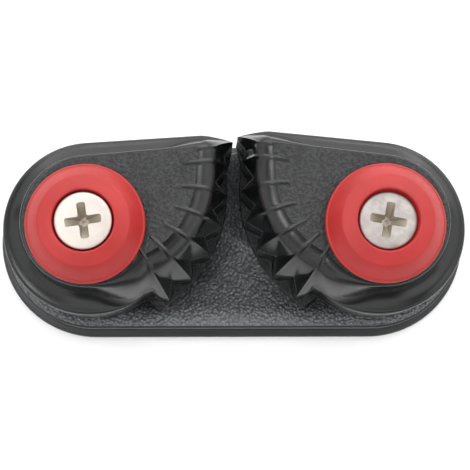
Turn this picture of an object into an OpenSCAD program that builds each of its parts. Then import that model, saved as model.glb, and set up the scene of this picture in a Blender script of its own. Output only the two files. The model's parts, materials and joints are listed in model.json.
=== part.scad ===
// Cam cleat: two toothed, spring-closed cams that run on ball bearings, on one moulded base.
// Units: millimetres. Origin: centre of the base's underside, on the deck. +Z points up from the deck,
// +X from one cam to the other, and the loaded line leaves the cleat towards -Y, out of the V's mouth.

/* [Base] */
// Distance between the two mounting screws, which is also the distance between the cam pivots
hole_spacing = 38; // [37:0.5:40]
// Radius of the base's round ends, at the lip on the deck
base_end_r = 13.5; // [13:0.1:14.5]
// Height of the base, from the deck to the face under the cams
base_h = 5; // [4.6:0.1:6]
// Height of the thin lip round the foot of the base
lip_h = 1.3; // [1:0.1:1.8]
// How far the lip stands out from the base's wall
lip_w = 1; // [0.6:0.1:1.2]

/* [Cams] */
// Height of each cam, from its underside to its flat top
cam_h = 12; // [11.5:0.1:13]
// Height of the upright lower half of each cam, up to the tips of its teeth
cam_lower_h = 6.4; // [5.5:0.1:7]
// Radius of the round back of each cam, at its lower half
cam_r = 11.5; // [11:0.1:11.8]
// Radius of the round back of each cam, at its flat top
cam_top_r = 8.65; // [8.4:0.1:9.2]
// Number of teeth on each cam, without the corner at its tip
tooth_count = 6; // [5:1:6]
// Distance from tooth to tooth, along the curve of the teeth
tooth_pitch = 4; // [3.9:0.05:4.1]
// Depth of the valleys between the teeth
tooth_depth = 1.6; // [1.2:0.1:1.8]
// Gap between the tips of the two closed cams
tip_gap = 0.6; // [0.6:0.1:1.2]
// How far both cams stand turned clockwise, seen from above, because their springs differ a little
rest_turn = 1.1; // [0:0.1:1.5]
// How far each cam can open
cam_travel = 50; // [40:1:55]

/* [Bearings] */
// Diameter of a bearing ball
ball_d = 2.5; // [2.3:0.1:2.5]
// Balls in each row
balls_per_row = 13; // [10:1:13]
// Outer radius of the post that the balls run on
post_r = 4.2; // [4:0.1:4.2]
// Gap between a ball and each of its two races
ball_gap = 0.05; // [0.03:0.01:0.08]

/* [Caps] */
// Outer radius of the red caps
cap_r = 7.65; // [7.3:0.05:7.8]
// Radius of the crease where a cap's sloping rim meets its flatter crown
cap_crease_r = 5.75; // [5.2:0.05:6]
// Height of the cap's highest edge, round the screw's head, above the deck
cap_top_z = 21.2; // [21.1:0.1:21.6]

/* [Screws] */
// Diameter of the mounting screws
screw_d = 4; // [3.8:0.1:4]
// Diameter of a screw's countersunk head
screw_head_d = 7.2; // [7:0.1:7.6]
// Length of screw that stands out below the base, into the deck
screw_reach = 12; // [8:1:20]
// How far the left screw still stands off its seat
left_screw_lift = 0.4; // [0:0.1:0.4]

/* [Springs] */
// Diameter of the spring wire
wire_d = 1; // [0.8:0.1:1]
// Mean radius of the torsion spring's coil
coil_r = 8.7; // [8.6:0.1:8.8]
// Turns in each torsion spring
coil_turns = 2; // [1.5:0.25:2]

/* [Hidden] */

$fn = 96;
cut = 1;            // how far a cutting shape runs past the face it cuts
pivot_x = hole_spacing / 2;

black = [0.07, 0.07, 0.075];
base_black = [0.10, 0.10, 0.11];
red = [0.74, 0.11, 0.11];
steel = [0.78, 0.78, 0.77];
spring_steel = [0.6, 0.6, 0.62];
acetal = [0.16, 0.16, 0.17];

// Heights, from the deck up
slack = 0.5;                                   // room between base and cam, which the washer fills
cam_z = base_h + slack;
tip_z = cam_z + cam_lower_h;
cam_top_z = cam_z + cam_h;
flange_h = 0.8;                                // thin flange under the teeth
pocket_z = base_h - 3.1;                       // floor of the spring's pocket and of the post's socket
washer_h = 0.35;
washer_z = base_h + 0.05;
retainer_h = 1.1;
retainer_z = cam_z + 0.05;

// Ball race
race_r = post_r + ball_d + 2 * ball_gap;       // bore of the cam
ball_path_r = (post_r + race_r) / 2;
row_pitch = ball_d + 0.05;
lower_row_z = retainer_z + retainer_h + 0.1 + ball_d / 2;
post_top_z = cam_top_z - 1.6;
ball_end_gap = 0.15;                           // between the upper balls and the cap's spigot
spigot_z = lower_row_z + 2 * row_pitch + ball_d / 2 + ball_end_gap;

// Cap
cap_z = cam_top_z + 0.4;
cap_rim_h = 0.5;
cap_crease_z = cap_top_z - 0.45;
spigot_r = race_r - 0.5;
head_hole_r = screw_head_d / 2 + 0.16;
screw_hole_r = screw_d / 2 + 0.2;
head_z = cap_top_z - 0.55;                     // top face of a screw that is driven home
head_land = 0.35;                              // upright rim of a countersunk head
head_edge = 0.12;                              // its small bevel
shank_r = screw_d / 2 - 0.25;                  // a rolled thread stands out from its shank
cone_h = screw_head_d / 2 - shank_r;           // a 90 degree countersink is as deep as it is wide
thread_start = 0.7;                            // how far below the deck face the thread begins
tip_cone_h = 2;

// Cam outlines, in the left cam's own frame: pivot at the origin, tip towards +X, mouth towards -Y
back_shift = [0, 0.35];                        // the round back's centre stands a little behind the pivot
top_back_r = cam_top_r - 0.2;                  // the flat top draws in a little round the back
top_shift = [0, back_shift.y + 0.2];
back_slope = 4.7;                              // the straight back edge climbs towards the tip
top_back_slope = 6;
reach = pivot_x - tip_gap / 2;                 // from the pivot to the plane of the tip
tooth_a = [26.4, -39.5];                       // angles of the first and last tooth, about the pivot
tooth_r_last = 13.9;
tooth_r_rise = reach - 12.55;
ridge_turn = -18;                              // a ridge leans from the radius by the curve's own angle
ridge_len = 5.8;
ridge_w = 0.4;
ridge_top = 0.15;                              // how far a ridge stands above the flat top
curve_step = 6;

function polar(r, a) = [r * cos(a), r * sin(a)];
function climb(a, low, high) = max(0, (a - low) / (high - low));
// The pitch curve through the tooth tips, and the edge of the flat top behind it
function tooth_r(a) = tooth_r_last + tooth_r_rise * pow(climb(a, tooth_a[1], tooth_a[0]), 1.25);
function top_edge_r(a) = cam_top_r + back_shift.y * sin(a)
    + (reach - 10.12) * pow(climb(a, -31, 35.7), 1.1);
function next_a(a) = a - tooth_pitch / tooth_r(a) * 180 / PI;
function tooth_angles(a, n) = n == 0 ? [] : concat([a], tooth_angles(next_a(a), n - 1));
// Height of the straight back edge over the pivot line, at a distance x along it
function back_y(x, r, slope) = (r + x * sin(slope)) / cos(slope);

tip_bevel = [3.7, 1.2];                        // long low bevel between the straight edge and the tip
teeth = tooth_angles(tooth_a[0], tooth_count);
last_a = teeth[tooth_count - 1];
heel_a = last_a - 7;                           // where the teeth end and the round back begins
heel = back_shift + polar(cam_r, heel_a);
round_back = [for (a = [90 + back_slope : curve_step : 360 + heel_a]) back_shift + polar(cam_r, a)];
tip_corner = [back_shift + [reach, back_y(reach, cam_r, back_slope) - tip_bevel.y],
    back_shift + [reach - tip_bevel.x, back_y(reach - tip_bevel.x, cam_r, back_slope)]];
corner_valley = polar(tooth_r(tooth_a[0]) - 0.6, tooth_a[0] + 3.4);

function valley(k) = polar((tooth_r(teeth[k]) + tooth_r(teeth[k + 1])) / 2 - tooth_depth,
    (teeth[k] + teeth[k + 1]) / 2);
tooth_line = [for (k = [tooth_count - 1 : -1 : 0], part = [0, 1])
    part == 0 ? polar(tooth_r(teeth[k]), teeth[k]) : k == 0 ? corner_valley : valley(k - 1)];
toothed_outline = concat(round_back, [heel], tooth_line, tip_corner);
valley_outline = concat(round_back, [heel],
    [for (k = [tooth_count - 2 : -1 : 0]) valley(k)], [corner_valley], tip_corner);
flange_outline = concat(round_back, [heel],
    [for (k = [tooth_count - 1 : -1 : 0]) polar(tooth_r(teeth[k]), teeth[k])], tip_corner);
top_outline = concat([for (a = [90 + top_back_slope : curve_step : 329])
        top_shift + polar(top_back_r + 0.45 * pow(climb(a, 280, 329), 2), a)],
    [for (a = [-28 : curve_step : 32]) polar(top_edge_r(a), a)],
    [top_shift + [reach - 4.3, back_y(reach - 4.3, top_back_r, top_back_slope)]]);

module tube(r_out, r_in, h) {
    difference() {
        cylinder(r = r_out, h = h);
        translate([0, 0, -cut]) cylinder(r = r_in, h = h + 2 * cut);
    }
}

// A block with round ends, centred on the pivots
module stadium(r, h) {
    for (side = [-1, 1]) translate([side * pivot_x, 0, 0]) cylinder(r = r, h = h);
    translate([-pivot_x, -r, 0]) cube([2 * pivot_x, 2 * r, h]);
}

// Places a part that is drawn for the left pivot. The right side is its mirror image.
module at_pivot(side) {
    if (side < 0) translate([-pivot_x, 0, 0]) children();
    else translate([pivot_x, 0, 0]) mirror([1, 0, 0]) children();
}

// A cam's own frame also takes the small clockwise turn that both cams rest with
module at_cam(side) {
    at_pivot(side) rotate([0, 0, side * rest_turn]) children();
}

module base() {
    color(base_black)
    difference() {
        union() {
            stadium(base_end_r, lip_h);
            stadium(base_end_r - lip_w, base_h);
        }
        for (side = [-1, 1]) at_pivot(side) {
            translate([0, 0, -cut]) cylinder(r = screw_hole_r, h = base_h + 2 * cut);
            translate([0, 0, pocket_z]) cylinder(r = post_r + 0.05, h = base_h);
            translate([0, 0, pocket_z]) tube(coil_r + 0.8, coil_r - 0.8, base_h);
            // slot for the spring's fixed leg
            rotate([0, 0, spring_lower_a])
                translate([coil_r, -wire_d / 2 - 0.1, pocket_z])
                cube([2.4, wire_d + 0.2, base_h]);
        }
    }
}

module bearing_post(side) {
    color(steel)
    at_pivot(side) translate([0, 0, pocket_z]) tube(post_r, screw_hole_r, post_top_z - pocket_z);
}

// One tooth above the tips' level: a wedge whose ridge falls from the flat top to the tip
module tooth_wedge(k) {
    a = teeth[k];
    tip = polar(tooth_r(a), a);
    along = polar(1, a + ridge_turn);
    across = polar(1, a + ridge_turn + 90);
    root = tip - ridge_len * along;
    foot = tip - 2.3 * along;
    half_w = tooth_pitch * 0.45;
    points = [[root.x, root.y, cam_top_z + ridge_top],
        [tip.x, tip.y, tip_z],
        [foot.x + half_w * across.x, foot.y + half_w * across.y, tip_z],
        [foot.x - half_w * across.x, foot.y - half_w * across.y, tip_z],
        [root.x, root.y, tip_z]];
    polyhedron(points, [[0, 1, 2], [0, 3, 1], [1, 4, 2], [1, 3, 4], [0, 2, 4], [0, 4, 3]]);
}

module cam(side) {
    color(black)
    at_cam(side)
    difference() {
        union() {
            translate([0, 0, cam_z]) linear_extrude(flange_h) polygon(flange_outline);
            translate([0, 0, cam_z]) linear_extrude(cam_lower_h) polygon(toothed_outline);
            hull() {
                translate([0, 0, tip_z - 0.1]) linear_extrude(0.1) polygon(valley_outline);
                translate([0, 0, cam_top_z - 0.1]) linear_extrude(0.1) polygon(top_outline);
            }
            for (k = [0 : tooth_count - 1]) tooth_wedge(k);
        }
        translate([0, 0, cam_z - cut]) cylinder(r = race_r, h = cam_h + 3 * cut);
        translate([0, 0, cam_z - cut]) cylinder(r = race_r + 0.6, h = retainer_z - cam_z + retainer_h + cut);
        // arc slot that the spring's upper leg stands in, as long as the cam's travel
        translate([0, 0, cam_z - cut])
            rotate([0, 0, spring_upper_a - cam_travel - slot_spare])
            rotate_extrude(angle = cam_travel + 2 * slot_spare)
            translate([coil_r - slot_half_w, 0]) square([2 * slot_half_w, slot_h + cut]);
    }
}

// Ring pressed into the cam's underside, which holds the balls when the cam is off its post
module ball_retainer(side) {
    color(acetal)
    at_pivot(side) translate([0, 0, retainer_z]) tube(race_r + 0.6, post_r + 0.5, retainer_h);
}

module ball_row(side, row) {
    color(steel)
    at_pivot(side) translate([0, 0, lower_row_z + row * row_pitch])
        for (i = [0 : balls_per_row - 1]) rotate([0, 0, (i + row / 2) * 360 / balls_per_row])
            translate([ball_path_r, 0, 0]) sphere(d = ball_d, $fn = 32);
}

module thrust_washer(side) {
    color(acetal)
    at_pivot(side) translate([0, 0, washer_z]) tube(race_r, post_r + 0.3, washer_h);
}

// Torsion spring: a coil in the base's pocket, a leg outwards into the base, a leg up into the cam
slot_half_w = wire_d / 2 + 0.25;
slot_spare = 7;                                // degrees of slot past the leg at each end of its travel
slot_h = 2.2;
spring_upper_a = 150;
spring_lower_a = spring_upper_a - coil_turns * 360;
coil_low_z = pocket_z + wire_d / 2 + 0.1;
coil_pitch = wire_d + 0.05;
leg_top_z = cam_z + slot_h - 0.5;
wire_sides = 8;
coil_steps = 24 * coil_turns;
lower_leg = [for (r = [coil_r + 1.6, coil_r + 0.8])
    concat(polar(r, spring_lower_a), coil_low_z)];
coil = [for (i = [0 : coil_steps]) let (turn = i * coil_turns / coil_steps)
    concat(polar(coil_r, spring_lower_a + 360 * turn), coil_low_z + turn * coil_pitch)];
upper_leg = [for (z = [coil_low_z + coil_turns * coil_pitch + 1, leg_top_z])
    concat(polar(coil_r, spring_upper_a), z)];
wire_path = concat(lower_leg, coil, upper_leg);

// A round wire swept along a path: one ring of points for each point of the path
module swept_wire(path, r) {
    n = len(path);
    ahead = [for (i = [0 : n - 1]) let (d = path[min(i + 1, n - 1)] - path[max(i - 1, 0)]) d / norm(d)];
    side = [for (d = ahead) let (s = abs(d.z) > 0.9 ? [d.z, 0, -d.x] : cross(d, [0, 0, 1])) s / norm(s)];
    rings = [for (i = [0 : n - 1], j = [0 : wire_sides - 1])
        let (t = -360 * j / wire_sides)
        path[i] + r * (cos(t) * side[i] + sin(t) * cross(side[i], ahead[i]))];
    walls = [for (i = [0 : n - 2], j = [0 : wire_sides - 1]) let (m = (j + 1) % wire_sides)
        [i * wire_sides + j, i * wire_sides + m, (i + 1) * wire_sides + m, (i + 1) * wire_sides + j]];
    start = [[for (j = [wire_sides - 1 : -1 : 0]) j]];
    end = [[for (j = [0 : wire_sides - 1]) (n - 1) * wire_sides + j]];
    polyhedron(rings, concat(walls, start, end));
}

module spring(side) {
    color(spring_steel)
    at_pivot(side) swept_wire(wire_path, wire_d / 2);
}

// Cap: a bush with a spigot over the balls, a sloping rim and a countersunk hole in its crown
module cap(side) {
    color(red)
    at_pivot(side)
    rotate_extrude() polygon([
        [screw_hole_r, post_top_z],
        [post_r + 0.05, post_top_z],
        [post_r + 0.05, spigot_z],
        [spigot_r, spigot_z],
        [spigot_r, cap_z],
        [cap_r - 0.15, cap_z],
        [cap_r, cap_z + 0.15],
        [cap_r, cap_z + cap_rim_h],
        [cap_r - 0.2, cap_z + cap_rim_h + 0.25],
        [cap_crease_r, cap_crease_z],
        [head_hole_r + 0.25, cap_top_z],
        [head_hole_r, cap_top_z - 0.2],
        [head_hole_r, head_z - head_land],
        [screw_hole_r, head_z - head_land - head_hole_r + screw_hole_r]]);
}

module phillips_arm(top_z) {
    hull() {
        translate([-2.3, -0.5, top_z]) cube([4.6, 1, 0.1]);
        translate([-0.9, -0.3, top_z - 1.7]) cube([1.8, 0.6, 0.1]);
    }
}

module screw(side) {
    lift = side < 0 ? left_screw_lift : 0;
    top_z = head_z + lift;
    color(steel)
    translate([side * pivot_x, 0, 0])
    difference() {
        rotate_extrude() polygon([
            [0, lift - screw_reach],
            [0.3, lift - screw_reach],
            [screw_d / 2, lift + tip_cone_h - screw_reach],
            [screw_d / 2, lift - thread_start],
            [shank_r, lift - thread_start],
            [shank_r, top_z - head_land - cone_h],
            [screw_head_d / 2, top_z - head_land],
            [screw_head_d / 2, top_z - head_edge],
            [screw_head_d / 2 - head_edge, top_z],
            [0, top_z]]);
        for (a = [0, 90]) rotate([0, 0, a - side * 9]) phillips_arm(top_z);
    }
}

base();
bearing_post(-1);  // left_bearing_post
cam(-1);  // left_cam
ball_retainer(-1);  // left_ball_retainer
ball_row(-1, 2);  // left_upper_balls
ball_row(-1, 1);  // left_middle_balls
ball_row(-1, 0);  // left_lower_balls
thrust_washer(-1);  // left_thrust_washer
spring(-1);  // left_spring
cap(-1);  // left_cap
screw(-1);  // left_screw
bearing_post(1);  // right_bearing_post
cam(1);  // right_cam
ball_retainer(1);  // right_ball_retainer
ball_row(1, 2);  // right_upper_balls
ball_row(1, 1);  // right_middle_balls
ball_row(1, 0);  // right_lower_balls
thrust_washer(1);  // right_thrust_washer
spring(1);  // right_spring
cap(1);  // right_cap
screw(1);  // right_screw
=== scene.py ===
import json
import math

import bmesh
import bpy
import numpy as np
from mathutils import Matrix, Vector

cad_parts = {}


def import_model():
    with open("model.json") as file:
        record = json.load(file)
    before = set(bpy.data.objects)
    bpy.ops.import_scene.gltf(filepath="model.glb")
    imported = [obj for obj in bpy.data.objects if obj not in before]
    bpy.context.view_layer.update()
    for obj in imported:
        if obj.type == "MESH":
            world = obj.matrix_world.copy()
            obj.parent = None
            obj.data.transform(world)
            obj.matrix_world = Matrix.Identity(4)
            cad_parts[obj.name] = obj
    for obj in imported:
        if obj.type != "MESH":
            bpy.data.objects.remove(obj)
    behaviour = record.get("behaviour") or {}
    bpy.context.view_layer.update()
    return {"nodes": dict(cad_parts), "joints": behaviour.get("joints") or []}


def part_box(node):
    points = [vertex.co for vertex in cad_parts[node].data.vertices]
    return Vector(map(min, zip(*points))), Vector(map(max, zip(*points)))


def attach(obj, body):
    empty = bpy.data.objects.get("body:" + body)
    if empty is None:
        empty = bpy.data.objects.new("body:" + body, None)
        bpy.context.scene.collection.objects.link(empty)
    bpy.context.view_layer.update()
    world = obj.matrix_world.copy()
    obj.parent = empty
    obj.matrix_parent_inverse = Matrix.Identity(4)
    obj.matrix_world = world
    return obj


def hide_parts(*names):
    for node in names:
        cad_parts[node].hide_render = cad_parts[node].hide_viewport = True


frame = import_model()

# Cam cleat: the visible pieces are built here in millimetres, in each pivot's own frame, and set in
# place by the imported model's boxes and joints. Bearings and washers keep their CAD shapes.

MM = 0.001
SIDES = {"left": -1, "right": 1}


def box_mm(node):
    low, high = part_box(node)
    return np.array(low) / MM, np.array(high) / MM


JOINTS = {j["name"]: j for j in frame["joints"]}
BASE_HIGH = box_mm("base")[1]
CAP_LOW, CAP_HIGH = box_mm("left_cap")
POST_LOW, POST_HIGH = box_mm("left_bearing_post")
CAM_LOW, CAM_HIGH = box_mm("left_cam")
SCREW_LOW, SCREW_HIGH = box_mm("left_screw")
SPRING_LOW, SPRING_HIGH = box_mm("left_spring")
RETAINER_LOW, RETAINER_HIGH = box_mm("left_ball_retainer")

PIVOT_X = abs(JOINTS["left_cam_swing"]["pos_m"][0]) / MM
BASE_H = BASE_HIGH[2]
BASE_R = BASE_HIGH[1]
LIP_H = 1.3
LIP_W = 1.0
SPRING_POCKET = (7.9, 9.5)             # inner and outer radius of the ring cut in the base
SPRING_LEG_A = 150                     # angle of the spring's fixed leg

# Cams: the driving sizes of the CAD part, in the left cam's own frame, where the tip points to +X
REST_TURN = 1.1
RIDGE_H = 0.15                         # how far a ridge stands above the flat top
RIDGE_TURN = -18.0                     # a ridge leans from the radius by this angle
CAM_Z = CAM_LOW[2]
CAM_TOP = CAM_HIGH[2] - RIDGE_H
TIP_Z = CAM_Z + 6.4                    # the widest level
FLANGE_Z = CAM_Z + 0.8
REACH = PIVOT_X - 0.3                  # from the pivot to the plane of the tip
CAM_R = 11.5                           # the round back at its widest level
BACK_SHIFT = np.array([0, 0.35])       # the back's centre, from the pivot
BACK_SLOPE = 4.7
TOP_R = 8.65                           # the flat top, which grows towards the tip over a span of angles
TOP_RISE = REACH - 10.12
TOP_RISE_SPAN = (-31, 35.7)
TOP_BACK_R = 8.45
TOP_BACK_SHIFT = np.array([0, 0.55])
TOP_BACK_SLOPE = 6.0
TOP_TIP_GAP = 4.3                      # the flat top stops this far short of the tip
TIP_BEVEL = (3.7, 1.2)
TOOTH_COUNT = 6
TOOTH_PITCH = 4.0
TOOTH_DEPTH = 1.6
TOOTH_FROM, TOOTH_TO = 26.4, -39.5
TOOTH_R_LAST = 13.9
TOOTH_R_RISE = REACH - 12.55
BORE_R = 6.8
RETAINER_R = (RETAINER_HIGH[0] - RETAINER_LOW[0]) / 2
GROOVE = (7.95, 9.45)                  # radii of the slot for the spring's upper leg, here a full ring
GROOVE_TOP = CAM_Z + 2.2

# Cams: roundings and finer forms that only the visible model has
EDGE_BACK, EDGE_TOOTH = 0.5, 0.1       # radius at the widest level
RIM = 0.35                             # radius at the edge of the flat top, away from the teeth
RIM_SET_IN = (0.3, 0.15)               # how far inside that edge it starts, and the extra above the teeth
BEVEL_TILT = (7, 12, 17, 21, 26, 31, 38, 46)   # the soft bevel above the teeth, from the flat top out
BEVEL_STEP = 0.34
TOOTH_BOW = 0.44                       # how much the crest of a tooth bulges, as seen from the side
HEEL_DEPTH = 2.45                      # depth of the last tooth at the heel
TIP_DEPTH = 0.9                        # depth of the toothing where it ends at the cam's tip
RIDGE_HALF_W = 0.32
RIDGE_REACH = 1.9                      # how far the ridges run in over the flat top

CAP_R = (CAP_HIGH[0] - CAP_LOW[0]) / 2
CAP_TOP = CAP_HIGH[2]
CREASE_R = 5.75
SCREW_HOLE_R = 2.2
HEAD_R = (SCREW_HIGH[0] - SCREW_LOW[0]) / 2
HEAD_HOLE_R = HEAD_R + 0.28
HEAD_TURN = {"left": 8, "right": -10}
POST_R = (POST_HIGH[0] - POST_LOW[0]) / 2


# ---------------------------------------------------------------- mesh helpers

def polar(r, degrees):
    a = math.radians(degrees)
    return np.array([r * math.cos(a), r * math.sin(a)])


def lerp(a, b, f):
    return np.array(a) * (1 - f) + np.array(b) * f


def smooth(f):
    f = min(1.0, max(0.0, f))
    return f * f * (3 - 2 * f)


def climb(a, low, high):
    """How far a is on the way from low to high, and 0 below it."""
    return max(0.0, (a - low) / (high - low))


def place(points, side, turn=0.0):
    """Points in a pivot's own frame, mirrored for the right side and moved to the pivot."""
    p = np.array(points, float).reshape(-1, 3)
    a = math.radians(side * turn)
    x = p[:, 0] * math.cos(a) - p[:, 1] * math.sin(a)
    y = p[:, 0] * math.sin(a) + p[:, 1] * math.cos(a)
    x = x - PIVOT_X if side < 0 else PIVOT_X - x
    return np.stack([x, y, p[:, 2]], axis=1)


def make_object(name, points, faces, materials, face_slots=None, sharp=35.0, fill_at=None):
    """A mesh object. fill_at: the height of a flat face still to be filled between two open loops, which
    takes the second material."""
    mesh = bpy.data.meshes.new(name)
    mesh.from_pydata([tuple(p) for p in np.array(points) * MM], [], faces)
    for material in materials:
        mesh.materials.append(material)
    if face_slots is not None:
        mesh.polygons.foreach_set("material_index", face_slots)
    mesh.polygons.foreach_set("use_smooth", [True] * len(mesh.polygons))
    tidy = bmesh.new()
    tidy.from_mesh(mesh)
    bmesh.ops.remove_doubles(tidy, verts=tidy.verts, dist=1e-6)
    bmesh.ops.dissolve_degenerate(tidy, dist=1e-7, edges=tidy.edges)
    if fill_at is not None:
        rim = [e for e in tidy.edges
               if e.is_boundary and all(abs(v.co.z / MM - fill_at) < 0.01 for v in e.verts)]
        new = bmesh.ops.triangle_fill(tidy, use_beauty=True, edges=rim, normal=(0, 0, 1))["geom"]
        for face in (g for g in new if isinstance(g, bmesh.types.BMFace)):
            face.material_index, face.smooth = 1, True
    bmesh.ops.recalc_face_normals(tidy, faces=tidy.faces)
    tidy.to_mesh(mesh)
    tidy.free()
    mesh.set_sharp_from_angle(angle=math.radians(sharp))
    obj = bpy.data.objects.new(name, mesh)
    bpy.context.scene.collection.objects.link(obj)
    return obj


def grid_faces(nu, nv, wrap_v):
    """Quads of a grid whose first direction goes all the way round, and whose second may."""
    faces = []
    for i in range(nu):
        m = (i + 1) % nu
        for j in range(nv if wrap_v else nv - 1):
            n = (j + 1) % nv
            faces.append((i * nv + j, m * nv + j, m * nv + n, i * nv + n))
    return faces


def lathe(name, profile, side, materials, steps, sharp=30.0, closed=True):
    """A profile of (radius, z) turned round a pivot. An open profile ends on the axis at both ends."""
    points = []
    for i in range(steps):
        a = 360 * i / steps
        points += [(*polar(r, a), z) for r, z in profile]
    faces = grid_faces(steps, len(profile), closed)
    return make_object(name, place(points, side), faces, materials, sharp=sharp)


def arc(cx, cz, r, start, end, steps):
    """Points (radius, z) on an arc in a profile, from one angle to another."""
    return [(cx + r * math.cos(math.radians(a)), cz + r * math.sin(math.radians(a)))
            for a in np.linspace(start, end, steps)]


def sweep(path, r):
    """A round wire along a path: points and faces, closed at both ends."""
    sides = 12
    path = np.array(path, float)
    ahead = np.gradient(path, axis=0)
    ahead /= np.linalg.norm(ahead, axis=1)[:, None]
    points = []
    for p, d in zip(path, ahead):
        s = np.array([d[2], 0, -d[0]]) if abs(d[2]) > 0.9 else np.cross(d, [0, 0, 1])
        s /= np.linalg.norm(s)
        u = np.cross(s, d)
        points += [p + r * (math.cos(t) * s + math.sin(t) * u)
                   for t in 2 * math.pi * np.arange(sides) / sides]
    faces = [(i * sides + j, i * sides + (j + 1) % sides,
              (i + 1) * sides + (j + 1) % sides, (i + 1) * sides + j)
             for i in range(len(path) - 1) for j in range(sides)]
    last = (len(path) - 1) * sides
    faces += [tuple(range(sides)), tuple(range(last, last + sides))]
    return points, faces


def cut(obj, *cutters):
    """Cuts solids out of a piece, and removes them. The cut faces keep the cutters' materials."""
    for cutter in cutters:
        tool = obj.modifiers.new("cut", "BOOLEAN")
        tool.operation = "DIFFERENCE"
        tool.solver = "EXACT"
        tool.material_mode = "TRANSFER"
        tool.object = cutter
    depsgraph = bpy.context.evaluated_depsgraph_get()
    depsgraph.update()
    mesh = bpy.data.meshes.new_from_object(obj.evaluated_get(depsgraph))
    obj.modifiers.clear()
    old = obj.data
    obj.data = mesh
    bpy.data.meshes.remove(old)
    for cutter in cutters:
        bpy.data.objects.remove(cutter)


# ---------------------------------------------------------------- materials

class Nodes:
    """A short way to write a node material."""

    def __init__(self, name):
        self.material = bpy.data.materials.new(name)
        self.material.use_nodes = True
        self.tree = self.material.node_tree
        self.bsdf = self.tree.nodes["Principled BSDF"]
        self.coords = self.tree.nodes.new("ShaderNodeTexCoord").outputs["Object"]

    def add(self, kind, links, **values):
        node = self.tree.nodes.new("ShaderNode" + kind)
        for key, value in values.items():
            if hasattr(node, key):
                setattr(node, key, value)
            else:
                node.inputs[key.replace("_", " ").title()].default_value = value
        for socket, source in links.items():
            self.tree.links.new(source, node.inputs[socket])
        return node

    def noise(self, scale, detail, roughness=0.5):
        return self.add("TexNoise", {"Vector": self.coords}, scale=scale, detail=detail,
                        roughness=roughness).outputs["Fac"]

    def ramp(self, source, low, high, at):
        """Maps a value to a grey or a colour between two stops."""
        ramp = self.add("ValToRGB", {"Fac": source})
        for element, value, position in zip(ramp.color_ramp.elements, (low, high), at):
            element.color = (*value, 1) if hasattr(value, "__len__") else (value, value, value, 1)
            element.position = position
        return ramp.outputs["Color"]

    def math(self, operation, a, b):
        node = self.tree.nodes.new("ShaderNodeMath")
        node.operation = operation
        for socket, value in zip(node.inputs, (a, b)):
            if isinstance(value, (int, float)):
                socket.default_value = value
            else:
                self.tree.links.new(value, socket)
        return node.outputs[0]

    def bump(self, height, strength, distance):
        return self.add("Bump", {"Height": height}, strength=strength, distance=distance).outputs["Normal"]

    def set(self, socket, value):
        if hasattr(value, "is_linked"):
            self.tree.links.new(value, self.bsdf.inputs[socket])
        else:
            self.bsdf.inputs[socket].default_value = value


def cam_side_material():
    """Smooth moulded plastic, with a faint flow and fine scuffs in its gloss."""
    n = Nodes("cam_side_plastic")
    cloud = n.noise(120, 3)
    fine = n.noise(2600, 2)
    n.set("Base Color", n.ramp(cloud, (0.004, 0.0042, 0.0044), (0.007, 0.0073, 0.0077), (0.3, 0.75)))
    n.set("Roughness", n.ramp(cloud, 0.2, 0.3, (0.3, 0.7)))
    n.set("Specular IOR Level", 0.46)
    n.set("Normal", n.bump(fine, 0.12, 0.00003))
    return n.material


def cam_top_material():
    """The flat tops: a fine spark-eroded grain, duller and greyer than the sides."""
    n = Nodes("cam_top_grain")
    grain = n.noise(2300, 3, 0.7)
    patches = n.noise(260, 3)
    n.set("Base Color", n.ramp(grain, (0.001, 0.0011, 0.0013), (0.024, 0.0255, 0.028), (0.42, 0.64)))
    n.set("Roughness", n.ramp(patches, 0.42, 0.54, (0.35, 0.7)))
    n.set("Normal", n.bump(grain, 1.0, 0.00026))
    return n.material


def base_side_material(name, low, high):
    """Plain moulded plastic, between a low and a high grey that are a little blue."""
    n = Nodes(name)
    cloud = n.noise(150, 3)
    fine = n.noise(1800, 3)
    dark, light = [(grey, grey * 1.04, grey * 1.12) for grey in (low, high)]
    n.set("Base Color", n.ramp(cloud, dark, light, (0.3, 0.7)))
    n.set("Roughness", n.ramp(cloud, 0.34, 0.46, (0.3, 0.7)))
    n.set("Normal", n.bump(fine, 0.25, 0.00005))
    return n.material


def base_top_material():
    """Fine leather grain: small rounded grains of uneven size, over a slow unevenness. The grain is real;
    its light grey, far lighter than the base's black sides, is a painted sheen.
    """
    n = Nodes("base_top_leather_painted_sheen")
    grains = n.add("TexVoronoi", {"Vector": n.coords}, feature="SMOOTH_F1", scale=2500, smoothness=0.5,
                   randomness=1.0).outputs["Distance"]
    wrinkle = n.noise(1300, 3, 0.6)
    slow = n.noise(230, 2)
    height = n.math("ADD", n.math("MULTIPLY", grains, -1.0), n.math("MULTIPLY", wrinkle, 1.3))
    height = n.math("ADD", height, n.math("MULTIPLY", slow, 1.2))
    # Painted sheen: a light grey, lightest on the grains, for the base top whose plastic is as black as its
    # sides.
    n.set("Base Color", n.ramp(grains, (0.15, 0.161, 0.167), (0.062, 0.067, 0.070), (0.15, 0.62)))
    n.set("Roughness", n.ramp(slow, 0.34, 0.44, (0.3, 0.7)))
    n.set("Specular IOR Level", 0.7)
    n.set("Normal", n.bump(height, 1.0, 0.00018))
    return n.material


def red_material():
    """Satin red moulded plastic, with a faint mottle and a soft coat."""
    n = Nodes("cap_red_plastic")
    cloud = n.noise(190, 3)
    fine = n.noise(2400, 3, 0.6)
    n.set("Base Color", n.ramp(cloud, (0.315, 0.0125, 0.0115), (0.385, 0.018, 0.017), (0.3, 0.7)))
    n.set("Roughness", n.ramp(fine, 0.4, 0.52, (0.3, 0.7)))
    n.set("Specular IOR Level", 0.4)
    n.set("Normal", n.bump(fine, 0.25, 0.00005))
    return n.material


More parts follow.
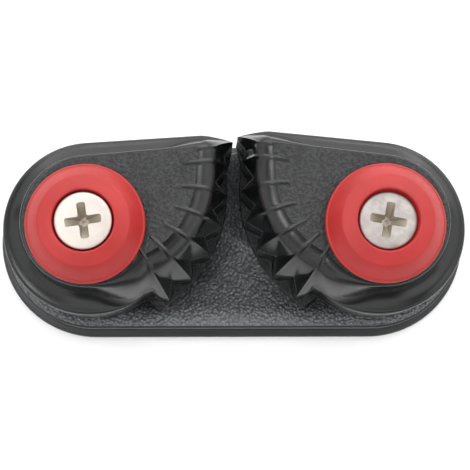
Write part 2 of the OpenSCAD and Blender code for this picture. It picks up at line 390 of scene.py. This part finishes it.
def steel_material(name, low, high, colour, metallic=1.0, mottle=0.9):
    """Plated or polished steel, with a mottled colour and gloss."""
    n = Nodes(name)
    cloud = n.noise(700, 4, 0.6)
    fine = n.noise(2600, 2)
    n.set("Base Color", n.ramp(cloud, tuple(mottle * c for c in colour), colour, (0.35, 0.65)))
    n.set("Metallic", metallic)
    n.set("Roughness", n.ramp(fine, low, high, (0.3, 0.7)))
    n.set("Normal", n.bump(fine, 0.25, 0.00001))
    return n.material


def acetal_material():
    """The dark plastic of the bearing parts."""
    n = Nodes("acetal_dark")
    cloud = n.noise(300, 2)
    n.set("Base Color", n.ramp(cloud, (0.02, 0.02, 0.021), (0.032, 0.032, 0.034), (0.3, 0.7)))
    n.set("Roughness", n.ramp(n.noise(1500, 2), 0.3, 0.42, (0.3, 0.7)))
    n.set("Normal", n.bump(n.noise(2200, 2), 0.15, 0.00003))
    return n.material


def floor_material():
    n = Nodes("studio_floor")
    n.set("Base Color", n.ramp(n.noise(9, 2), (0.95, 0.95, 0.95), (0.98, 0.98, 0.98), (0.3, 0.7)))
    n.set("Roughness", 0.6)
    return n.material


CAM_SIDE = cam_side_material()
CAM_FLAT = cam_top_material()
BASE_SIDE = base_side_material("base_side_plastic", 0.0035, 0.0065)
# The lip is the same plastic as the sides. Its lighter grey is a painted highlight where the lip faces up.
BASE_LIP_PAINTED_LIGHT = base_side_material("base_lip_painted_light", 0.011, 0.02)
# The base top's light grey is a painted sheen over its real grain.
BASE_TOP_GRAIN_AND_SHEEN = base_top_material()
RED = red_material()
# Both heads are the same steel. The left head's near-white colour is painted light, and the right head's
# darker colour is painted shade from the cap it sits lower in.
SCREW_STEEL = {"left": steel_material("screw_steel_painted_light", 0.4, 0.5, (0.60, 0.54, 0.495), 0.5),
               "right": steel_material("screw_steel_painted_shade", 0.42, 0.55, (0.44, 0.405, 0.385), 0.55, 0.7)}
# The recess walls are the same steel as the head. Their darker colour is painted shade in the cross recess.
RECESS_SHADE_STEEL = steel_material("screw_recess_painted_shade", 0.4, 0.55, (0.43, 0.38, 0.31), 0.5)
BEARING_STEEL = steel_material("bearing_steel", 0.08, 0.16, (0.80, 0.80, 0.81))
SPRING_STEEL = steel_material("spring_steel", 0.25, 0.38, (0.60, 0.60, 0.62))
ACETAL = acetal_material()


# ---------------------------------------------------------------- base

def stadium_ring(inset, z):
    """Points round the base, a given distance in from its lip."""
    per_end, per_side = 48, 24
    r = BASE_R - inset
    ring = []
    for end in (1, -1):
        for a in np.linspace(-90, 90, per_end + 1):
            x, y = polar(r, a)
            ring.append((end * (PIVOT_X + x), end * y, z))
        for f in np.linspace(0, 1, per_side + 1)[1:-1]:
            ring.append((end * PIVOT_X * (1 - 2 * f), end * r, z))
    return ring


def base():
    """The moulded block, with rounded edges, a rounded lip and the pockets for springs and posts."""
    lip_round, top_round, foot = 0.45, 0.3, 0.2
    # These rows face up and take the lighter lip grey, a painted highlight where the lip catches light from
    # above.
    lit_lip_rows = range(5, 9)                 # the upper half of the lip's rounding, and its flat top
    profile = [(foot, 0), (0, foot)]
    profile += [(lip_round - dx, LIP_H - lip_round + dz) for dx, dz in arc(0, 0, lip_round, 0, 90, 7)]
    profile += [(LIP_W - foot, LIP_H), (LIP_W - foot / 4, LIP_H + foot / 4), (LIP_W, LIP_H + foot)]
    profile += [(LIP_W + top_round - dx, BASE_H - top_round + dz)
                for dx, dz in arc(0, 0, top_round, 0, 90, 8)]
    rings = [stadium_ring(inset, z) for inset, z in profile]
    count, rows = len(rings[0]), len(rings)
    points = [rings[j][i] for i in range(count) for j in range(rows)]
    faces = grid_faces(count, rows, False)
    slots = [2 if i % (rows - 1) in lit_lip_rows else 0 for i in range(len(faces))]
    faces += [tuple(i * rows + rows - 1 for i in range(count)), tuple(i * rows for i in range(count))]
    slots += [1, 0]
    obj = make_object("base_block", points, faces, [BASE_SIDE, BASE_TOP_GRAIN_AND_SHEEN, BASE_LIP_PAINTED_LIGHT], slots, sharp=40)
    cutters = []
    floor_z = POST_LOW[2]
    over = BASE_H + 1
    for side in SIDES.values():
        post = [(0, -1), (SCREW_HOLE_R, -1), (SCREW_HOLE_R, floor_z), (POST_R + 0.05, floor_z),
                (POST_R + 0.05, over), (0, over)]
        ring = list(zip(SPRING_POCKET + SPRING_POCKET[::-1], (floor_z, floor_z, over, over)))
        cutters.append(lathe("post_pocket", post, side, [BASE_SIDE], 64, closed=False))
        cutters.append(lathe("spring_pocket", ring, side, [BASE_SIDE], 64))
        cutters.append(leg_slot_cutter(side, floor_z, over))
    cut(obj, *cutters)
    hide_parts("base")
    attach(obj, "base")


def leg_slot_cutter(side, low, high):
    """The slot in the base that holds the spring's fixed leg."""
    inner, outer, half_width = 8.7, 11.1, 0.6
    along, across = polar(1, SPRING_LEG_A), polar(half_width, SPRING_LEG_A + 90)
    corners = [along * r + s * across for r, s in ((inner, -1), (outer, -1), (outer, 1), (inner, 1))]
    points = [(*c, z) for z in (low, high) for c in corners]
    faces = [(0, 1, 2, 3), (4, 5, 6, 7)] + [(i, (i + 1) % 4, 4 + (i + 1) % 4, 4 + i) for i in range(4)]
    return make_object("leg_slot", place(points, side), faces, [BASE_SIDE])


# ---------------------------------------------------------------- cams

def tooth_r(a):
    """Radius of the curve through the tips of the teeth, at an angle about the pivot."""
    return TOOTH_R_LAST + TOOTH_R_RISE * climb(a, TOOTH_TO, TOOTH_FROM) ** 1.25


def top_edge_r(a):
    """Radius of the edge of the flat top behind the teeth."""
    return TOP_R + BACK_SHIFT[1] * math.sin(math.radians(a)) + TOP_RISE * climb(a, *TOP_RISE_SPAN) ** 1.1


def straight_back(x, r, slope, shift):
    """The point at x on the straight back edge, which touches a circle of radius r."""
    s = math.radians(slope)
    return np.array([x, shift[1] + (r + x * math.sin(s)) / math.cos(s)])


def widest_back(x):
    """The same at the cam's widest level."""
    return straight_back(x, CAM_R, BACK_SLOPE, BACK_SHIFT)


def tooth_angles():
    """Angles of the teeth about the pivot, one pitch apart along the curve through their tips."""
    angles = [TOOTH_FROM]
    while len(angles) < TOOTH_COUNT:
        a = angles[-1]
        angles.append(a - math.degrees(TOOTH_PITCH / tooth_r(a)))
    return angles


TEETH = tooth_angles()
HEEL_A = TEETH[-1] - 7                 # where the teeth end and the round back begins


def top_edge_behind(tip, along):
    """Where the ridge through a tip crosses the edge of the flat top."""
    low, high = 2.0, 8.0
    for _ in range(40):
        mid = (low + high) / 2
        p = tip - mid * along
        if np.hypot(*p) > top_edge_r(math.degrees(math.atan2(p[1], p[0]))):
            low = mid
        else:
            high = mid
    return tip - low * along


def station(top, core, tooth, q, out, teeth, edge, strip=0.0):
    """One line down the cam's side. top: edge of the flat top. core: the wall at its widest level,
    before the tooth. tooth: what a tooth adds there. q: 0 on a ridge, 1 in a valley. out: the way out
    from the wall. teeth: 1 where the side is toothed, 0 where it is smooth. edge: rounding at the widest
    level. strip: how far the line runs in over the flat top."""
    out = np.array(out) / np.linalg.norm(out)
    return dict(top=np.array(top), core=np.array(core), tooth=np.array(tooth), q=q, out=out,
                teeth=teeth, edge=edge, strip=strip)


def toothed_stations():
    """From the heel to the first tooth, with close lines at each ridge."""
    spacing = [0, 0.022, 0.045, 0.07, 0.1, 0.15, 0.22, 0.3, 0.4, 0.5, 0.6, 0.7, 0.8, 0.9, 1.0]
    result = []
    order = TEETH[::-1]
    for k, a in enumerate(order):
        before = HEEL_A if k == 0 else (a + order[k - 1]) / 2
        spots = [(q, a + (before - a) * q) for q in spacing[::-1]]
        if k + 1 < len(order):
            after = (a + order[k + 1]) / 2
            spots += [(q, a + (after - a) * q) for q in spacing[1:-1]]
        for q, b in spots:
            along = polar(1, b + RIDGE_TURN)
            tip = polar(tooth_r(b), b)
            heel = smooth((b - HEEL_A) / (order[0] - HEEL_A))
            on_heel = k == 0 and b < a
            depth = HEEL_DEPTH + (TOOTH_DEPTH - HEEL_DEPTH) * heel if on_heel else TOOTH_DEPTH
            result.append(station(top_edge_behind(tip, along), tip - depth * along, depth * along, q,
                                  along, 1.0, EDGE_TOOTH, RIDGE_REACH * heel))
    return result


def corner_stations(first):
    """From the first tooth to the cam's tip, round its corner, and along the straight back edge."""
    tip = polar(tooth_r(TOOTH_FROM), TOOTH_FROM)
    corner = widest_back(REACH) - [0, TIP_BEVEL[1]]
    bevel_end = REACH - TIP_BEVEL[0]
    middle = np.array([bevel_end + 0.9, widest_back(bevel_end)[1] - 0.05])
    turn = widest_back(bevel_end - 0.6)
    meet = BACK_SHIFT + polar(CAM_R, 90 + BACK_SLOPE)
    top_corner = straight_back(REACH - TOP_TIP_GAP, TOP_BACK_R, TOP_BACK_SLOPE, TOP_BACK_SHIFT)
    top_first = first["top"]
    top_last = top_corner - [0, 0.4]
    top_turn = top_corner - [0.3, 0.04]
    top_meet = TOP_BACK_SHIFT + polar(TOP_BACK_R, 90 + TOP_BACK_SLOPE)
    normal = polar(1, 90 + BACK_SLOPE)
    result = []
    # from the first tooth to the tip, over one shallow valley
    start_a = math.degrees(math.atan2(top_first[1], top_first[0]))
    end_a = math.degrees(math.atan2(top_last[1], top_last[0]))
    for f in np.linspace(0, 1, 17)[1:]:
        q = 0.55 * (1 - abs(2 * f - 1))
        along = polar(1, TOOTH_FROM + RIDGE_TURN + 6 * f)
        depth = TOOTH_DEPTH * (1 - f) + TIP_DEPTH * f
        p = lerp(tip, corner, f)
        r = np.hypot(*lerp(top_first, top_last, f)) + 0.18 * math.sin(math.pi * f)
        result.append(station(polar(r, start_a + (end_a - start_a) * f), p - depth * along, depth * along,
                              q, along, 1.0, EDGE_TOOTH, RIDGE_REACH * (1 - smooth(3 * f))))
    # round the corner, on a curve that follows the long bevel of the tip
    for f in np.linspace(0, 1, 13)[1:]:
        p = (1 - f) ** 2 * corner + 2 * f * (1 - f) * middle + f ** 2 * turn
        result.append(station(lerp(top_last, top_turn, f), p, [0, 0], 0,
                              lerp(polar(1, 15), normal, smooth(f)), 1 - 0.55 * smooth(f),
                              EDGE_TOOTH + (EDGE_BACK - EDGE_TOOTH) * f))
    # along the straight edge
    for f in np.linspace(0, 1, 31)[1:]:
        result.append(station(lerp(top_turn, top_meet, f), lerp(turn, meet, f), [0, 0], 0, normal,
                              0.45 * (1 - smooth(f * 2.6)), EDGE_BACK))
    return result


def back_stations(last_top):
    """Round the back, from the straight edge to the heel of the teeth, into which the last lines blend."""
    end = 360 + HEEL_A
    top_end = 360 + math.degrees(math.atan2(last_top[1], last_top[0]))
    drift, drift_from, drift_over = TOP_BACK_SLOPE - BACK_SLOPE, 94, 60
    late_from, top_blend, wall_blend = 250, 50, 44
    spare = np.hypot(*last_top) - np.hypot(*(TOP_BACK_SHIFT + polar(TOP_BACK_R, top_end)))
    result = []
    for a in np.linspace(90 + BACK_SLOPE, end, 76)[1:-1]:
        late = climb(a, late_from, end)
        top_a = a + drift * (1 - smooth((a - drift_from) / drift_over)) + (top_end - end) * late ** 2
        top_r = TOP_BACK_R + spare * smooth((a - (end - top_blend)) / top_blend)
        heel = smooth((a - (end - wall_blend)) / wall_blend)
        result.append(station(TOP_BACK_SHIFT + polar(top_r, top_a), BACK_SHIFT + polar(CAM_R, a), [0, 0], 0,
                              lerp(polar(1, a), polar(1, HEEL_A + RIDGE_TURN), heel * 0.6), heel,
                              EDGE_BACK + (EDGE_TOOTH - EDGE_BACK) * heel))
    return result


def bead(distance):
    """Cross section of the fine bead along each ridge."""
    return math.cos(math.pi / 2 * min(1.0, distance / RIDGE_HALF_W)) ** 2


def flare_rows():
    """The smooth side in section: a steep wall, then a slope that flattens as it goes out. Each row is
    a share of the way across and a share of the way down. A span is a length, the tilt at its start and
    its end, and a number of rows."""
    spans = ((0.62, 84, 84, 9), (0.10, 38, 30, 4), (0.28, 30, 9, 9))
    x, z, rows = 0.0, 0.0, []
    for length, steep, gentle, count in spans:
        for i in range(count):
            tilt = math.radians(steep + (gentle - steep) * (i + 0.5) / count)
            x += length / count * math.cos(tilt)
            z += length / count * math.sin(tilt)
            rows.append((x, z))
    return [(a / x, b / z) for a, b in rows]


FLARE = flare_rows()


def cam_line(s):
    """Every point of one station, from the flat top out, down the side and back through the bore."""
    half_pitch = TOOTH_PITCH / 2
    top_crowding = 0.68                    # ridges are closer together on the flat top than at their tips
    on_tooth = s["teeth"] if np.hypot(*s["tooth"]) > 0.5 else 0.0
    ridge = bead(s["q"] * half_pitch * top_crowding) * on_tooth
    out, top = s["out"], s["top"]
    angle = math.degrees(math.atan2(top[1], top[0]))
    outward = lerp(polar(1, angle), out, s["teeth"])
    line, kinds = [], []

    def put(p, z, kind="side"):
        line.append((p[0], p[1], z))
        kinds.append(kind)

    # the strip of flat top that carries the ridges
    start = top - outward * (RIM_SET_IN[0] + RIM_SET_IN[1] * s["teeth"])
    for f in (1.0, 0.93, 0.86, 0.8, 0.74, 0.62, 0.45, 0.28, 0.14, 0.0):
        rise = RIDGE_H * ridge * min(1.0, max(0.0, (0.93 - f) / 0.13)) ** 0.5
        put(start - outward * s["strip"] * f, CAM_TOP + rise, "side" if rise > 0.02 else "top")
    # its edge: a quarter round at the back, the soft bevel above the teeth
    x, z = 0.0, 0.0
    rim_steps = len(BEVEL_TILT)
    rim_step = 2 * RIM * math.sin(math.radians(90 / (2 * rim_steps)))
    for k, bevel_tilt in enumerate(BEVEL_TILT):
        tilt = math.radians(90 * (k + 0.5) / rim_steps * (1 - s["teeth"]) + bevel_tilt * s["teeth"])
        step = rim_step * (1 - s["teeth"]) + BEVEL_STEP * s["teeth"]
        x += step * math.cos(tilt)
        z += step * math.sin(tilt)
        put(start + outward * x, CAM_TOP - z + RIDGE_H * ridge)
    begin, begin_z = start + outward * x, CAM_TOP - z
    # the side, down to its widest level. A valley opens as the line goes down.
    edge = s["edge"]
    end_core = s["core"] - out * edge
    end_z = TIP_Z + edge
    straight = 1 - TOOTH_BOW
    for across, down in FLARE:
        t = (math.sqrt(straight ** 2 + 4 * TOOTH_BOW * down) - straight) / (2 * TOOTH_BOW)
        share = max(0.0, 1 - s["q"] / (0.08 + 0.92 * t))
        tooth_p = begin + (end_core - begin) * t + s["tooth"] * t * share
        smooth_p = begin + (end_core - begin) * across
        fade = bead(s["q"] * half_pitch * (top_crowding + (1 - top_crowding) * t)) * on_tooth * (1 - 0.6 * t)
        put(lerp(smooth_p, tooth_p, s["teeth"]) + out * 0.08 * fade,
            begin_z + (end_z - begin_z) * down + RIDGE_H * fade)
    # the rounded widest edge, and the upright wall under it
    low = end_core + s["tooth"] * max(0.0, 1 - s["q"])
    for phi in (22, 45, 68, 90):
        p, c = math.sin(math.radians(phi)), math.cos(math.radians(phi))
        put(low + out * edge * p, end_z - edge * (1 - c))
    wall = low + out * edge
    for z in (TIP_Z - 0.4, (TIP_Z + FLANGE_Z) / 2, FLANGE_Z + 0.12):
        put(wall, z)
    # the flange under the teeth, whose edge follows the tips
    foot = s["core"] + s["tooth"]
    put(wall + (foot - wall) * 0.12, FLANGE_Z + 0.02, "flange")
    put(foot - out * 0.05, FLANGE_Z, "flange")
    for proud, z in ((0.03, FLANGE_Z - 0.1), (0.03, CAM_Z + 0.22), (-0.04, CAM_Z + 0.06), (-0.2, CAM_Z)):
        put(foot + out * proud, z)
    # the underside, with the groove for the spring and the seat of the retainer, and up the bore
    for r, z in ((GROOVE[1], CAM_Z), (GROOVE[1], GROOVE_TOP), (GROOVE[0], GROOVE_TOP), (GROOVE[0], CAM_Z),
                 (RETAINER_R, CAM_Z), (RETAINER_R, RETAINER_HIGH[2]), (BORE_R, RETAINER_HIGH[2]),
                 (BORE_R, CAM_TOP - 0.25), (BORE_R + 0.25, CAM_TOP)):
        put(polar(r, angle), z)
    return line, kinds


def cam(name, side):
    """A toothed cam. Its flat top is filled in behind the strips, and has its own grain."""
    teeth = toothed_stations()
    stations = teeth + corner_stations(teeth[-1]) + back_stations(teeth[0]["top"])
    lines = [cam_line(s) for s in stations]
    rows = len(lines[0][0])
    points = [p for line, _ in lines for p in line]
    faces = grid_faces(len(stations), rows, False)
    kinds = [kind for _, line in lines for kind in line]
    slots = [1 if all(kinds[v] in ("top", "flange") for v in f) else 0 for f in faces]
    obj = make_object(name + "_cam_body", place(points, side, REST_TURN), faces, [CAM_SIDE, CAM_FLAT],
                      slots, sharp=32, fill_at=CAM_TOP)
    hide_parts(name + "_cam")
    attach(obj, name + "_cam")


# ---------------------------------------------------------------- caps, screws, springs

def cap(name, side):
    """The red bush: a rim, a cone up to the crease, a flatter crown and a countersunk hole."""
    low, rim_h = CAP_LOW[2], 0.5
    under = CAM_TOP + 0.4
    spigot_r = BORE_R - 0.5
    crease_z = CAP_TOP - 0.45
    shoulder = (CAP_R - 0.28, under + rim_h + 0.26)
    seat = CAP_TOP - 0.9
    profile = [(SCREW_HOLE_R, POST_HIGH[2]), (POST_R + 0.05, POST_HIGH[2]), (POST_R + 0.05, low),
               (spigot_r, low), (spigot_r, under), (CAP_R - 0.15, under), (CAP_R, under + 0.15),
               (CAP_R, under + rim_h)]
    profile += arc(CAP_R - 0.3, under + rim_h, 0.3, 18, 58, 4)
    profile += [shoulder, ((shoulder[0] + CREASE_R) / 2, (shoulder[1] + crease_z) / 2 + 0.05)]
    profile += [(CREASE_R + 0.14, crease_z - 0.11), (CREASE_R + 0.05, crease_z - 0.03),
                (CREASE_R - 0.08, crease_z + 0.03), (CREASE_R - 0.3, crease_z + 0.07),
                ((CREASE_R + HEAD_HOLE_R) / 2, CAP_TOP - 0.17)]
    profile += [(HEAD_HOLE_R + 0.3, CAP_TOP - 0.02), (HEAD_HOLE_R + 0.16, CAP_TOP),
                (HEAD_HOLE_R + 0.06, CAP_TOP - 0.04), (HEAD_HOLE_R, CAP_TOP - 0.14)]
    profile += [(HEAD_HOLE_R, seat), (SCREW_HOLE_R, seat - HEAD_HOLE_R + SCREW_HOLE_R)]
    obj = lathe(name + "_cap_bush", profile, side, [RED], 160, sharp=38)
    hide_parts(name + "_cap")
    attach(obj, "base")


def recess_cutter(top_z, side, turn):
    """One arm of the cross recess: a bar that narrows as it goes down. Its levels are a height, half the
    length and half the width."""
    levels = [(top_z + 0.3, 2.42, 0.60), (top_z, 2.32, 0.55), (top_z - 0.25, 2.08, 0.5),
              (top_z - 1.1, 1.35, 0.4), (top_z - 1.75, 0.6, 0.3)]
    ring = []
    for z, x, y in levels:
        r = y * 0.45
        for cx, cy, start in ((x - r, y - r, 0), (-x + r, y - r, 90), (-x + r, -y + r, 180),
                              (x - r, -y + r, 270)):
            ring += [(cx + r * math.cos(math.radians(a)), cy + r * math.sin(math.radians(a)), z)
                     for a in (start, start + 45, start + 90)]
    count = 12
    a = math.radians(turn)
    points = [(x * math.cos(a) - y * math.sin(a) + side * PIVOT_X, x * math.sin(a) + y * math.cos(a), z)
              for x, y, z in ring]
    faces = [(j * count + i, j * count + (i + 1) % count, (j + 1) * count + (i + 1) % count,
              (j + 1) * count + i) for j in range(len(levels) - 1) for i in range(count)]
    last = (len(levels) - 1) * count
    faces += [tuple(range(count)), tuple(range(last, last + count))]
    return make_object("arm", points, faces, [RECESS_SHADE_STEEL])


def centre_cutter(top_z, side):
    """The round middle of the recess."""
    profile = [(0, top_z + 0.2), (0.95, top_z + 0.2), (0.8, top_z - 0.2), (0.55, top_z - 1.2),
               (0.15, top_z - 1.9), (0, top_z - 1.95)]
    return lathe("centre", profile, side, [RECESS_SHADE_STEEL], 32, closed=False)


def screw(name, side):
    """A countersunk wood screw: a slightly domed head with a cross recess, a shank and a rolled thread."""
    low, high = box_mm(name + "_screw")
    top_z, tip_z = high[2], low[2]
    land, shank_r, crest_r, pitch = 0.35, 1.75, 2.0, 0.7
    head_low = top_z - land - (HEAD_R - shank_r)
    length_below, plain = 12, 0.7          # from the deck to the tip, and the part of that without thread
    thread_top = tip_z + length_below - plain
    head = [(0.02, top_z), (1.2, top_z - 0.005), (2.4, top_z - 0.02), (3.1, top_z - 0.05),
            (3.42, top_z - 0.09), (HEAD_R - 0.06, top_z - 0.15), (HEAD_R, top_z - 0.24),
            (HEAD_R, top_z - land), (shank_r, head_low), (shank_r, thread_top + 0.35)]
    steps, turn_rows = 64, 8
    heights = np.arange(thread_top, tip_z + 0.15, -pitch / turn_rows)
    points, rows = [], len(head) + len(heights) + 1
    for i in range(steps):
        a = 360 * i / steps
        points += [(*polar(r, a), z) for r, z in head]
        for z in heights:
            phase = (z / pitch - i / steps) % 1.0
            depth = 0.36 * min(1.0, abs(phase - 0.5) * 2 / 0.88)
            fade = smooth((thread_top - z) / pitch)
            taper = crest_r * min(1.0, 0.2 + (z - tip_z) / 2.2)
            r = max(0.15, min(crest_r - depth, taper)) * fade + shank_r * (1 - fade)
            points.append((*polar(r, a), z))
        points.append((*polar(0.02, a), tip_z))
    faces = grid_faces(steps, rows, False)
    faces += [tuple(i * rows for i in range(steps)), tuple(i * rows + rows - 1 for i in range(steps))]
    centred = np.array(points) + [side * PIVOT_X, 0, 0]
    obj = make_object(name + "_screw_body", centred, faces, [SCREW_STEEL[name], RECESS_SHADE_STEEL], sharp=35)
    turn = HEAD_TURN[name]
    # The cut recess walls take the darker recess steel, which is painted shade.
    cut(obj, recess_cutter(top_z, side, turn), recess_cutter(top_z, side, turn + 90),
        centre_cutter(top_z, side))
    obj.data.set_sharp_from_angle(angle=math.radians(35))
    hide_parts(name + "_screw")
    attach(obj, "base")


def spring(name, side):
    """The torsion spring, with a smoother wire than its CAD stand-in."""
    wire_r, coil_r, turns, pitch = 0.5, 8.7, 2, 1.05
    low_z = SPRING_LOW[2] + wire_r
    path = [(*polar(coil_r + leg, SPRING_LEG_A), low_z) for leg in (1.6, 1.0, 0.4)]
    path += [(*polar(coil_r, SPRING_LEG_A + 360 * t), low_z + t * pitch)
             for t in np.linspace(0, turns, 97)[1:]]
    top = low_z + turns * pitch
    path += [(*polar(coil_r, SPRING_LEG_A + turn), z)
             for turn, z in ((1.5, top + 0.25), (2, top + 0.8), (2, SPRING_HIGH[2] - 0.02))]
    points, faces = sweep(path, wire_r - 0.005)
    obj = make_object(name + "_spring_wire", place(points, side), faces, [SPRING_STEEL], sharp=50)
    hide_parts(name + "_spring")
    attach(obj, "base")


# ---------------------------------------------------------------- assembly

CARRIED_OVER = {"bearing_post": BEARING_STEEL, "upper_balls": BEARING_STEEL, "middle_balls": BEARING_STEEL,
                "lower_balls": BEARING_STEEL, "ball_retainer": ACETAL, "thrust_washer": ACETAL}

base()
for name, side in SIDES.items():
    cam(name, side)
    cap(name, side)
    screw(name, side)
    spring(name, side)
    for part, material in CARRIED_OVER.items():
        node = frame["nodes"][name + "_" + part]
        for slot in node.material_slots:
            slot.material = material
        if not node.material_slots:
            node.data.materials.append(material)


# ---------------------------------------------------------------- stage, light and camera

def stage():
    """A plain pale floor under the cleat."""
    half = 0.7
    floor = bpy.data.meshes.new("floor")
    floor.from_pydata([(-half, -half, 0), (half, -half, 0), (half, half, 0), (-half, half, 0)], [],
                      [(0, 1, 2, 3)])
    floor.materials.append(floor_material())
    obj = bpy.data.objects.new("floor", floor)
    bpy.context.scene.collection.objects.link(obj)


def softbox(name, azimuth, elevation, size, power):
    """A soft light that faces the cleat, in degrees round it and above the floor."""
    distance = 0.7
    data = bpy.data.lights.new(name, "AREA")
    data.shape = "RECTANGLE"
    data.size, data.size_y = size
    data.energy = power
    obj = bpy.data.objects.new(name, data)
    a, e = math.radians(azimuth), math.radians(elevation)
    obj.location = (distance * math.cos(e) * math.cos(a), distance * math.cos(e) * math.sin(a),
                    distance * math.sin(e))
    aim(obj, (0, 0, 0))
    bpy.context.scene.collection.objects.link(obj)


def aim(obj, target):
    away = Vector(obj.location) - Vector(target)
    obj.rotation_euler = away.to_track_quat("Z", "Y").to_euler()


def world():
    """A pale backdrop round the horizon, under a dim ceiling."""
    scene = bpy.context.scene
    scene.world = bpy.data.worlds.new("studio")
    scene.world.use_nodes = True
    tree = scene.world.node_tree
    height = tree.nodes.new("ShaderNodeSeparateXYZ")
    ramp = tree.nodes.new("ShaderNodeValToRGB")
    for element, position, grey in zip(ramp.color_ramp.elements, (0.25, 0.42), (0.85, 0.1)):
        element.position = position
        element.color = (grey, grey, grey, 1)
    tree.links.new(tree.nodes.new("ShaderNodeTexCoord").outputs["Generated"], height.inputs["Vector"])
    tree.links.new(height.outputs["Z"], ramp.inputs["Fac"])
    tree.links.new(ramp.outputs["Color"], tree.nodes["Background"].inputs["Color"])
    scene.view_settings.view_transform = "Standard"


def camera():
    """Looks down on the cleat from a little in front of it, close by."""
    data = bpy.data.cameras.new("camera")
    data.sensor_width = 36
    data.lens = 85.8
    data.clip_start = 0.005
    data.shift_x, data.shift_y = 0.069, 0.0355
    obj = bpy.data.objects.new("camera", data)
    distance, elevation, azimuth = 0.1495, math.radians(82.95), math.radians(0.13)
    target = np.array([-0.00414, -0.00259, 0.010])
    back = np.array([-math.sin(azimuth) * math.cos(elevation), -math.cos(azimuth) * math.cos(elevation),
                     math.sin(elevation)])
    obj.location = target + distance * back
    aim(obj, target)
    bpy.context.scene.collection.objects.link(obj)
    bpy.context.scene.camera = obj


SOFTBOXES = (
    # name, azimuth, elevation, size, power
    ("back", 90, 32, (0.9, 0.42), 3.0),
    ("back_strip", 90, 52, (0.7, 0.05), 1.1),
    ("back_right", 40, 32, (0.4, 0.42), 1.5),
    ("back_left", 140, 32, (0.4, 0.42), 0.8),
    ("left", 185, 35, (0.45, 0.4), 0.8),
    ("left_high", 138, 66, (0.13, 0.10), 0.6),
    ("left_overhead", 192, 66, (0.16, 0.11), 0.8),
    ("right", -5, 35, (0.45, 0.4), 0.9),
    ("right_high", 38, 65, (0.13, 0.10), 0.6),
    ("right_overhead", -5, 62, (0.2, 0.12), 0.3),
    ("front_left", 228, 35, (0.4, 0.4), 0.6),
    ("front_right", 318, 40, (0.3, 0.3), 0.5),
    ("front_high", 270, 60, (0.5, 0.35), 0.85),
    ("overhead", 130, 78, (0.15, 0.12), 0.1),
)

stage()
world()
for light in SOFTBOXES:
    softbox(*light)
camera()
